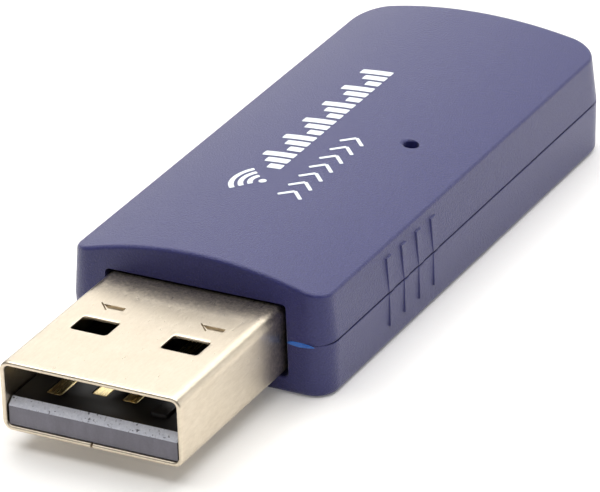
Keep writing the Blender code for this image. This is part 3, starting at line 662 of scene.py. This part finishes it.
def standingOutline(low, high, corner, steps=8, across=30, upright=8):
    # A rounded rectangle stood up in XZ. Its points run clockwise seen from -Y
    return roundedOutline(low, high, (corner, corner), innerStops(across), innerStops(upright), steps)


def standingRows(base, normal, profile):
    # Carries each (outset, y) pair round an outline that stands in XZ
    rows = []
    for outset, y in profile:
        flat = base + outset * normal
        rows.append(np.column_stack([flat[:, 0], np.full(len(flat), y), flat[:, 1]]))
    return np.stack(rows)


def closedEnds(points):
    # Closes the first and last ring of a carried profile on their middles
    first = np.broadcast_to(points[0].mean(axis=0), points[0].shape)
    last = np.broadcast_to(points[-1].mean(axis=0), points[-1].shape)
    return np.concatenate([first[None], points, last[None]])


def pocketCutter(material):
    # The plug's opening in the case's front, with a small round at its mouth
    gap, mouthRound = plug["pocketGap"], plug["pocketRound"]
    base, normal = standingOutline(
        (plug["low"][0] - gap[0], plug["low"][2] - gap[1]),
        (plug["high"][0] + gap[0], plug["high"][2] + gap[1]),
        plug["pocketCorner"],
    )
    front = case["frontY"] + plug["pocketSet"]
    turns = np.linspace(0, math.pi / 2, 6)[1:]
    profile = [(0.0, case["frontY"] + plug["pocketDepth"]), (0.0, front + mouthRound)]
    profile += [(mouthRound * (1 - math.cos(t)), front + mouthRound * (1 - math.sin(t))) for t in turns]
    profile += [(mouthRound + 0.3, case["frontY"] - overcut["along"])]
    points = closedEnds(standingRows(base, normal, profile))
    faces = gridFaces(*points.shape[:2])
    return makePiece("pocket_cutter", points.reshape(-1, 3), faces, material)


def lightHoleCutter(material):
    # The status light's hole through the roof, a plain drilling with a small round at its rim
    low, high = nodeBox("status_light")
    centre = (low + high) / 2
    angle = np.linspace(0, 2 * math.pi, 48, endpoint=False)
    top = crownHeight(centre[0])
    rows = []
    for flare, above in ((0.0, -3.0), (0.0, -0.1), (0.015, -0.04), (0.06, 0.01), (0.22, 0.12)):
        x = centre[0] + (case["lightHole"] + flare) * np.cos(angle)
        y = centre[1] + (case["lightHole"] + flare) * np.sin(angle)
        rows.append(np.column_stack([x, y, np.full(len(angle), top + above)]))
    points = closedEnds(np.stack(rows))
    return makePiece("hole_cutter", points.reshape(-1, 3), gridFaces(*points.shape[:2]), material)


def plugShell(material):
    # A rounded rectangle of folded sheet: outside from the rear to the rounded mouth, inside back again
    low, high = plug["low"], plug["high"]
    base, normal = standingOutline((low[0], low[2]), (high[0], high[2]), plug["corner"], 8, 60, 18)
    mouth, rear, sheet, lip = low[1], high[1], plug["sheet"], plug["lipRound"]
    turns = np.linspace(0, math.pi / 2, 6)[1:]
    profile = [(0.0, y) for y in np.linspace(rear, mouth + lip, 50)]
    profile += [(-lip * (1 - math.cos(t)), mouth + lip * (1 - math.sin(t))) for t in turns]
    profile += [(-sheet + lip * (1 - math.sin(t)), mouth + lip * (1 - math.cos(t))) for t in turns]
    profile += [(-sheet, y) for y in np.linspace(mouth + lip, rear, 30)[1:]]
    points = standingRows(base, normal, profile)
    points = np.concatenate([points, points[:1]])
    return makePiece("plug_shell", points.reshape(-1, 3), gridFaces(*points.shape[:2]), material)


def flatSolid(name, outline, normal, profile, material):
    # Carries (outset, height) pairs round an outline that lies flat
    rows = [
        np.column_stack([outline + outset * normal, np.full(len(outline), height)])
        for outset, height in profile
    ]
    points = closedEnds(np.stack(rows))
    return makePiece(name, points.reshape(-1, 3), gridFaces(*points.shape[:2]), material)


def windowCutters(material):
    # Punched windows, two above and two below. The punch leaves a soft edge outside and breaks out
    # wider inside the sheet. The profile goes inwards, as (outset, depth) pairs
    edge, flare = plug["windowEdge"], plug["windowFlare"]
    profile = [(edge, -overcut["above"]), (edge, 0.0), (edge * 0.3, edge * 0.3), (0.0, edge)]
    profile += [(0.0, 0.12), (flare, 0.28), (flare, 0.6)]
    start = plug["low"][1] + plug["windowStart"]
    made = []
    for side in (-1, 1):
        xs = sorted((side * plug["windowInner"], side * (plug["windowInner"] + plug["windowWidth"])))
        outline, normal = roundedOutline(
            (xs[0], start),
            (xs[1], start + plug["windowLength"]),
            (plug["windowCorner"],) * 2,
            innerStops(6),
            innerStops(4),
            6,
        )
        above = [(outset, plug["high"][2] - depth) for outset, depth in profile[::-1]]
        below = [(outset, plug["low"][2] + depth) for outset, depth in profile]
        made.append(flatSolid("window_cutter", outline, normal, above, material))
        made.append(flatSolid("window_cutter", outline, normal, below, material))
    return made


def slitCutter(material):
    # The folded sheet meets underneath in a fine butt joint that opens into a small notch at the mouth
    low, high = plug["low"], plug["high"]
    half = plug["slit"] / 2
    before, behind = low[1] - overcut["along"], high[1] + overcut["along"]
    ys = np.array([before, low[1] + 0.05, low[1] + plug["notchLength"], behind])
    widths = np.array([*plug["notchHalf"], half, half])
    left = np.column_stack([plug["slitX"] - widths, ys])
    right = np.column_stack([plug["slitX"] + widths, ys])
    outline = np.concatenate([right, left[::-1]])
    profile = [(0.0, low[2] - overcut["above"]), (0.0, low[2] + plug["sheet"] + 0.05)]
    return flatSolid("slit_cutter", outline, 0 * outline, profile, material)


def markCutters(material):
    # Two shallow tool marks behind the windows: a flat pad with a small nick leaning across its end
    made = []
    top, slant = plug["high"][2], plug["markSlant"]
    for shift in (0.0, plug["markStep"]):
        for shape in (plug["markPad"], plug["markNick"]):
            outline = np.array(shape) + (shift, plug["low"][1])
            outward = outline - outline.mean(axis=0)
            outward = outward / np.linalg.norm(outward, axis=1)[:, None]
            profile = [(-slant, top - plug["markDepth"]), (slant, top + 0.05)]
            made.append(flatSolid("mark_cutter", outline, outward, profile, material))
    return made


tongueLow, tongueHigh = nodeBox("usb_insulator")

tongue = {
    "slopeLength": 0.55,
    "slopeDrop": 0.4,
    "blockStart": 14.0,  # from the plug's mouth
    "top": plug["low"][2] + 1.98,
    "edge": 0.05,
    "sink": 0.05,  # it lies this much lower than its CAD box, down on the shell
}


def tongueBlank(name, material):
    # A side view carried across the plug: face, lead-in slope, top, the block behind and the
    # underside, closed on the middle of each end and with every edge broken by a small bevel
    front, rear = tongueLow[1], tongueHigh[1]
    floor, roof = tongueLow[2] - tongue["sink"], tongueHigh[2]
    block = plug["low"][1] + tongue["blockStart"]
    corners = np.array(
        [
            (front, floor),
            (front, tongue["top"] - tongue["slopeDrop"]),
            (front + tongue["slopeLength"], tongue["top"]),
            (block, tongue["top"]),
            (block, roof),
            (rear, roof),
            (rear, floor),
        ]
    )
    ends = (tongueLow[0], tongueHigh[0])
    rows = [np.column_stack([np.full(len(corners), x), corners[::-1]]) for x in ends]
    points = closedEnds(np.stack(rows))
    blank = makePiece(name, points.reshape(-1, 3), gridFaces(*points.shape[:2]), material, 20.0)
    bevel = blank.modifiers.new("edges", "BEVEL")
    bevel.width = tongue["edge"] * mm
    bevel.segments = 3
    bevel.limit_method = "ANGLE"
    bevel.angle_limit = math.radians(30)
    return blank


contact = {
    "nodes": (
        "usb_contact_power",
        "usb_contact_data_minus",
        "usb_contact_data_plus",
        "usb_contact_ground",
    ),
    "thickness": 0.25,
    "sink": 0.01,
    "gap": 0.04,
    "edge": 0.05,
    "nose": 0.12,
}


def contactStrip(name, low, high, grow, material):
    # A flat strip with rounded long edges and a rounded nose, which lies along the tongue
    edge = contact["edge"]
    outline, normal = roundedOutline(
        (low[0] - grow, low[1] - grow),
        (high[0] + grow, high[1]),
        (contact["nose"] + grow, edge),
        innerStops(3),
        innerStops(20),
        5,
    )
    turns = np.linspace(0, math.pi / 2, 5)
    profile = [(0.0, low[2] - grow)]
    profile += [(-edge * (1 - math.cos(t)), high[2] + grow - edge * (1 - math.sin(t))) for t in turns]
    return flatSolid(name, outline, normal, profile, material)


def makeTongue(materials, gold):
    body = tongueBlank("plug_tongue", materials[0])
    contacts, cutters = [], []
    for node in contact["nodes"]:
        low, high = nodeBox(node)
        low[2], high[2] = tongue["top"] - contact["thickness"], tongue["top"] - contact["sink"]
        contacts.append((contactStrip(node.replace("usb_", ""), low, high, 0.0, gold), node))
        high = high + (0, 0, overcut["above"])
        cutters.append(contactStrip("channel_cutter", low, high, contact["gap"], materials[0]))
    cutAway(body, cutters, 20.0)
    body.data.materials.append(materials[1])
    body.data.materials.append(materials[2])
    # The front face and the lead-in slope behind it get materials of their own, with the grey and pale
    # painted reflections
    count = len(body.data.polygons)
    centres, normals = np.empty(count * 3), np.empty(count * 3)
    body.data.polygons.foreach_get("center", centres)
    body.data.polygons.foreach_get("normal", normals)
    normals = normals.reshape(-1, 3)
    isFace = normals[:, 1] < -0.9
    isSlope = (normals[:, 1] < -0.3) & (normals[:, 2] > 0.3)
    nearFront = centres.reshape(-1, 3)[:, 1] / mm < tongueLow[1] + tongue["slopeLength"]
    finish = np.where(isSlope & nearFront, 2, np.where(isFace & nearFront, 1, 0))
    body.data.polygons.foreach_set("material_index", finish.astype(np.int32))
    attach(body, "root")
    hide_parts("usb_insulator")
    for strip, node in contacts:
        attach(strip, "root")
        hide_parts(node)


def makePlug(nickel):
    shell = plugShell(nickel)
    cutAway(shell, windowCutters(nickel) + [slitCutter(nickel)] + markCutters(nickel), 30.0)
    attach(shell, "root")
    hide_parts("usb_plug_shell")


printed = {
    "bigRow": (-4.2, -0.75),  # where it starts along Y, and its foot line across X
    "barGroups": 6,
    "groupStart": 3.55,
    "groupPitch": 2.62,
    "barWidth": 0.6,
    "barPitch": 0.84,
    "barHeights": (1.0, 1.6, 2.2),
    "arcCentre": (-0.2, 1.4),  # from the row's foot line and its start
    "arcHalfAngle": 46,
    "arcRadii": (0.82, 1.4, 1.98),
    "arcWidth": 0.34,
    "dotReach": (0.2, 0.3),
    "dotWidth": 0.5,
    "smallRow": (-4.2, 2.25),
    "smallHeight": 1.55,
    "arrowCount": 7,
    "arrowPitch": 1.36,
    "arrowWidth": 0.24,
    "arrowAlong": (0.15, 0.95),  # where its tails and its tip lie
    # Each stroke's end cap: its length and squareness
    "dotCap": (0.25, 2.0),
    "arcCap": (0.12, 3.0),
    "barCap": (0.1, 4.0),
    "arrowCap": (0.1, 3.0),
    "film": 0.018,
}


def printStroke(path, width, capLength, squareness):
    # A flat ribbon on the crown. It follows path, its half width closes at each end as
    # (1 - q^n)^(1/n), where q runs over the cap, and its four-cornered section hugs the roof
    half = width / 2
    path = np.array(path, float)
    reach = np.concatenate([[0], np.cumsum(np.linalg.norm(np.diff(path, axis=0), axis=1))])
    quarter = np.linspace(0, 1, 9)
    cap = capLength * (1 - np.cos(quarter * math.pi / 2))
    between = np.linspace(capLength, reach[-1] - capLength, 16)[1:-1]
    stops = np.concatenate([cap, between, reach[-1] - cap[::-1]])
    centre = np.column_stack([np.interp(stops, reach, path[:, k]) for k in (0, 1)])
    tangent = np.gradient(centre, axis=0)
    tangent /= np.maximum(np.linalg.norm(tangent, axis=1), 1e-9)[:, None]
    side = np.column_stack([tangent[:, 1], -tangent[:, 0]])
    near = np.clip(1 - np.minimum(stops, reach[-1] - stops) / capLength, 0, 1)
    halves = half * np.maximum(1 - near**squareness, 0) ** (1 / squareness)
    rows = []
    for share, lift in ((-1, -1), (-1, 0.8), (-0.5, 1), (0, 1), (0.5, 1), (1, 0.8), (1, -1)):
        flat = centre + side * (halves * share)[:, None]
        rows.append(np.column_stack([flat, crownHeight(flat[:, 0]) + lift * printed["film"]]))
    rows = np.stack(rows + rows[:1])[::-1]
    return rows.transpose(1, 0, 2)[:, :-1]


def printPiece(name, strokes, material):
    points, faces, start = [], [], 0
    for stroke in strokes:
        stroke = closedEnds(stroke)
        points.append(stroke.reshape(-1, 3))
        faces.append(gridFaces(*stroke.shape[:2]) + start)
        start += len(points[-1])
    piece = makePiece(name, np.concatenate(points), np.concatenate(faces), material)
    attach(piece, "root")


def bigMark(material):
    # A wireless symbol, a dot under three arcs, and then rising bars in groups
    start, foot = printed["bigRow"]
    strokes = []
    centre = np.array([foot, start]) + printed["arcCentre"]
    below, above = printed["dotReach"]
    dot = [(centre[0] + below, centre[1]), (centre[0] - above, centre[1])]
    strokes.append(printStroke(dot, printed["dotWidth"], *printed["dotCap"]))
    angle = np.radians(np.linspace(-1, 1, 25) * printed["arcHalfAngle"])
    for radius in printed["arcRadii"]:
        arc = np.column_stack([-np.cos(angle), np.sin(angle)]) * radius + centre
        strokes.append(printStroke(arc, printed["arcWidth"], *printed["arcCap"]))
    for group in range(printed["barGroups"]):
        for index, height in enumerate(printed["barHeights"]):
            y = start + printed["groupStart"] + group * printed["groupPitch"] + index * printed["barPitch"]
            bar = [(foot, y), (foot - height, y)]
            strokes.append(printStroke(bar, printed["barWidth"], *printed["barCap"]))
    printPiece("printed_signal_bars", strokes, material)


def smallMark(material):
    # A row of open arrowheads that point to the antenna end
    start, foot = printed["smallRow"]
    height = printed["smallHeight"]
    tails, point = printed["arrowAlong"]
    strokes = []
    for index in range(printed["arrowCount"]):
        y = start + index * printed["arrowPitch"]
        tip = (foot - height / 2, y + point)
        for tail in ((foot, y + tails), (foot - height, y + tails)):
            strokes.append(printStroke([tail, tip], printed["arrowWidth"], *printed["arrowCap"]))
    printPiece("printed_arrowheads", strokes, material)


glintShape = {
    "fromPlug": 0.2,
    "length": 1.85,
    "radius": 0.19,
    "taper": 0.4,
    "flatness": 0.35,
}


def paintedSeamGlint(material):
    # A painted glint in the seam beside the plug, a sliver of bright blue standing for light caught on the
    # lip in the gap: a flat lens whose radius along the share t of its length is radius * sqrt(sin(pi t))
    # * (1 - taper t)
    along = np.linspace(0, 1, 25)
    radius = glintShape["radius"] * np.sqrt(np.sin(math.pi * along)) * (1 - glintShape["taper"] * along)
    angle = np.linspace(0, 2 * math.pi, 12, endpoint=False)
    x = plug["high"][0] + glintShape["fromPlug"] + glintShape["length"] * along
    y = case["frontY"] + glintShape["flatness"] * np.outer(radius, np.cos(angle))
    z = case["seam"] + np.outer(radius, np.sin(angle))
    points = closedEnds(np.stack([np.broadcast_to(x[:, None], y.shape), y, z], axis=-1))
    piece = makePiece("painted_seam_glint", points.reshape(-1, 3), gridFaces(*points.shape[:2]), material)
    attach(piece, "root")


def innerFinishes():
    laminate = plainFinish("green_solder_mask_on_glass_epoxy", "#0b3a22", "#14512f", 0.4, 0.32)
    copper = plainFinish("masked_copper_track", "#8a5a34", "#a8703f", 0.2, 0.38, 0.8)
    epoxy = plainFinish("moulded_chip_epoxy", "#141416", "#222226", 0.08, 0.55)
    silicone = plainFinish("grey_thermal_silicone", "#8b9196", "#a3a9ad", 0.3, 0.7)
    tin = plainFinish("tin_plated_drawn_can", "#b3b5b8", "#c9cacb", 0.12, 0.34, 1.0)
    lid = plainFinish("welded_nickel_crystal_lid", "#c0bdb4", "#d4d1c8", 0.1, 0.28, 1.0)
    ferrite = plainFinish("sintered_ferrite", "#2c2a28", "#3d3a37", 0.1, 0.6)
    ceramic = plainFinish("fired_capacitor_ceramic", "#9a7048", "#b3875a", 0.1, 0.5)
    film = plainFinish("glazed_resistor_film", "#141518", "#232529", 0.08, 0.3)
    lamp = plainFinish("clear_lamp_epoxy", "#cfd6e0", "#e4e9ef", 0.2, 0.15)
    # Each inner part's finish, by how its node's name starts
    byStart = {
        "circuit_board": laminate,
        "printed_antenna": copper,
        "wifi_chip": epoxy,
        "voltage_regulator": epoxy,
        "settings_memory": epoxy,
        "surge_protector": epoxy,
        "thermal_pad": silicone,
        "shield_can": tin,
        "reference_crystal": lid,
        "antenna_filter": lid,
        "power_inductor": ferrite,
        "supply_ferrite_bead": ferrite,
        "status_light": lamp,
        "bulk_capacitor": ceramic,
        "bypass_capacitor": ceramic,
        "crystal_capacitor": ceramic,
        "antenna_matching_part": ceramic,
        "chip_resistor": film,
    }
    for name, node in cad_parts.items():
        for start, finish in byStart.items():
            if name.startswith(start):
                for slot in node.material_slots:
                    slot.material = finish


makeCamera()
for lightName, (place, target, size, radiance) in lights.items():
    makeLight(lightName, place, target, size, radiance)

skyStrength = 0.17
world = bpy.data.worlds.new("studio")
world.use_nodes = True
world.node_tree.nodes["Background"].inputs["Color"].default_value = toLinear("#ffffff")
world.node_tree.nodes["Background"].inputs["Strength"].default_value = skyStrength
bpy.context.scene.world = world
bpy.context.scene.view_settings.view_transform = "Standard"

floorSize, floorDrop = 1500.0, 0.02  # just clear of the underside, so the two faces don't flicker
floorCorners = np.array([[-1, -1, 0], [1, -1, 0], [1, 1, 0], [-1, 1, 0]])
floorPoints = floorCorners * floorSize - (0, 0, floorDrop)
floor = makePiece("floor", floorPoints, np.array([[0, 1, 2, 3]]), floorPaper())
print("camera, lights and floor made")

navy = caseAbs()
upper = upperCase(navy)
cutAway(upper, [pocketCutter(navy), lightHoleCutter(navy)], 30.0)
lower = lowerCase(navy)
cutAway(lower, [pocketCutter(navy)], 30.0)
for piece, node in ((upper, "upper_shell"), (lower, "lower_shell")):
    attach(piece, "root")
    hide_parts(node)
print("case made")

makePlug(plugNickel())
makeTongue([tonguePlastic(), greyReflectionPlastic(), paleReflectionPlastic()], contactGold())
print("plug made")

ink = whiteInk()
bigMark(ink)
smallMark(ink)
paintedSeamGlint(glintPaintedPlastic())
print("marks made")

innerFinishes()
print("inner parts finished")
